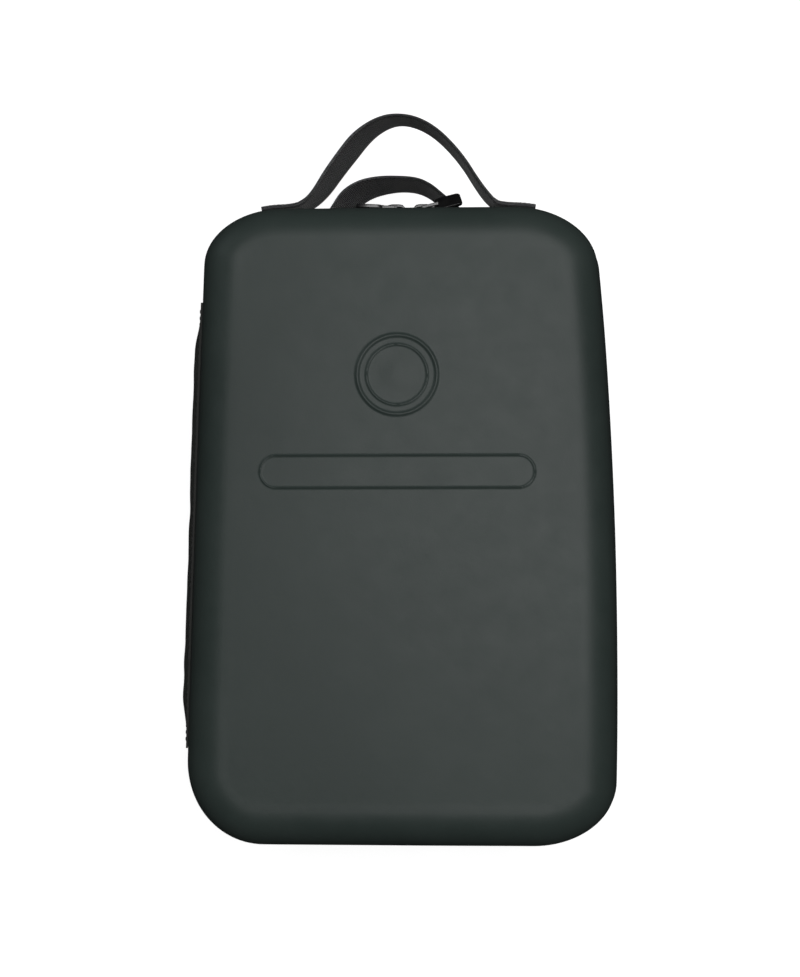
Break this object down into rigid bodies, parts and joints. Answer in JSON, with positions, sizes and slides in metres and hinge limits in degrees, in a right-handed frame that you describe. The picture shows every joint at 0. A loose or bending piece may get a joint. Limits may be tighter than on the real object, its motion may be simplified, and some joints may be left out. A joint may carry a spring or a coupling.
{
  "type": "bottle carry case",
  "caption": "Moulded hard carry case for wine bottles, with a cloth spine, a two-way zip, webbing handles and a foam cradle in each half.",
  "frame": {"origin": "middle of the rear shell's flat back, which the case lies on", "axes": "+Z out of the back towards the front face, +Y along the case towards the handles, +X across it from the cloth spine towards the opening side"},
  "size_m": [0.239, 0.3987, 0.1],
  "materials": {
    "skin": "smooth rubberised polyurethane skin over moulded EVA foam",
    "spine": "polyurethane-faced cloth",
    "lining": "brushed knit",
    "foam": "closed-cell foam",
    "tape": "woven polyester",
    "coil": "nylon coil",
    "webbing": "woven nylon",
    "zinc": "glossy black enamel on die-cast zinc"
  },
  "bodies": {
    "rear_half": {"rear_shell": "skin", "rear_lining": "lining", "rear_rim_binding": "tape", "rear_foam_cradle": "foam", "rear_zip_tape": "tape", "rear_zip_chain": "coil", "rear_spine_cloth": "spine", "rear_spine_lining": "lining", "rear_handle_left_tab": "webbing", "rear_handle_right_tab": "webbing", "rear_handle_backing": "lining", "zip_top_stop": "zinc", "zip_bottom_stop": "zinc"},
    "front_half": {"front_shell": "skin", "front_lining": "lining", "front_rim_binding": "tape", "front_foam_cradle": "foam", "front_zip_tape": "tape", "front_zip_chain": "coil", "front_spine_cloth": "spine", "front_spine_lining": "lining", "front_handle_left_tab": "webbing", "front_handle_right_tab": "webbing", "front_handle_backing": "lining"},
    "front_handle": {"front_handle_strap": "webbing"},
    "rear_handle": {"rear_handle_strap": "webbing"},
    "left_slider": {"left_slider": "zinc"},
    "right_slider": {"right_slider": "zinc"},
    "left_puller": {"left_puller": "zinc"},
    "right_puller": {"right_puller": "zinc"}
  },
  "joints": [
    {"name": "spine_hinge", "type": "hinge", "parent": "rear_half", "child": "front_half", "pos_m": [-0.1179, 0, 0.056], "axis": [-0.023, -0.9997, 0], "range_deg": [0, 180]},
    {"name": "front_handle_fold", "type": "hinge", "parent": "front_half", "child": "front_handle", "pos_m": [0, 0.17249, 0.0726], "axis": [1, 0, 0], "range_deg": [0, 60]},
    {"name": "rear_handle_fold", "type": "hinge", "parent": "rear_half", "child": "rear_handle", "pos_m": [0, 0.17264, 0.034], "axis": [-1, 0, 0], "range_deg": [-8, 50]},
    {"name": "left_slider_run", "type": "slide", "parent": "rear_half", "child": "left_slider", "axis": [-1, 0, 0], "range_m": [0, 0.052]},
    {"name": "right_slider_run", "type": "slide", "parent": "rear_half", "child": "right_slider", "axis": [1, 0, 0], "range_m": [0, 0.042]},
    {"name": "left_puller_swing", "type": "hinge", "parent": "left_slider", "child": "left_puller", "pos_m": [-0.0023, 0.1776, 0.056], "axis": [0, 0, -1], "range_deg": [0, 88]},
    {"name": "right_puller_swing", "type": "hinge", "parent": "right_slider", "child": "right_puller", "pos_m": [0.0133, 0.1776, 0.056], "axis": [0, 0, 1], "range_deg": [-3, 90]}
  ]
}
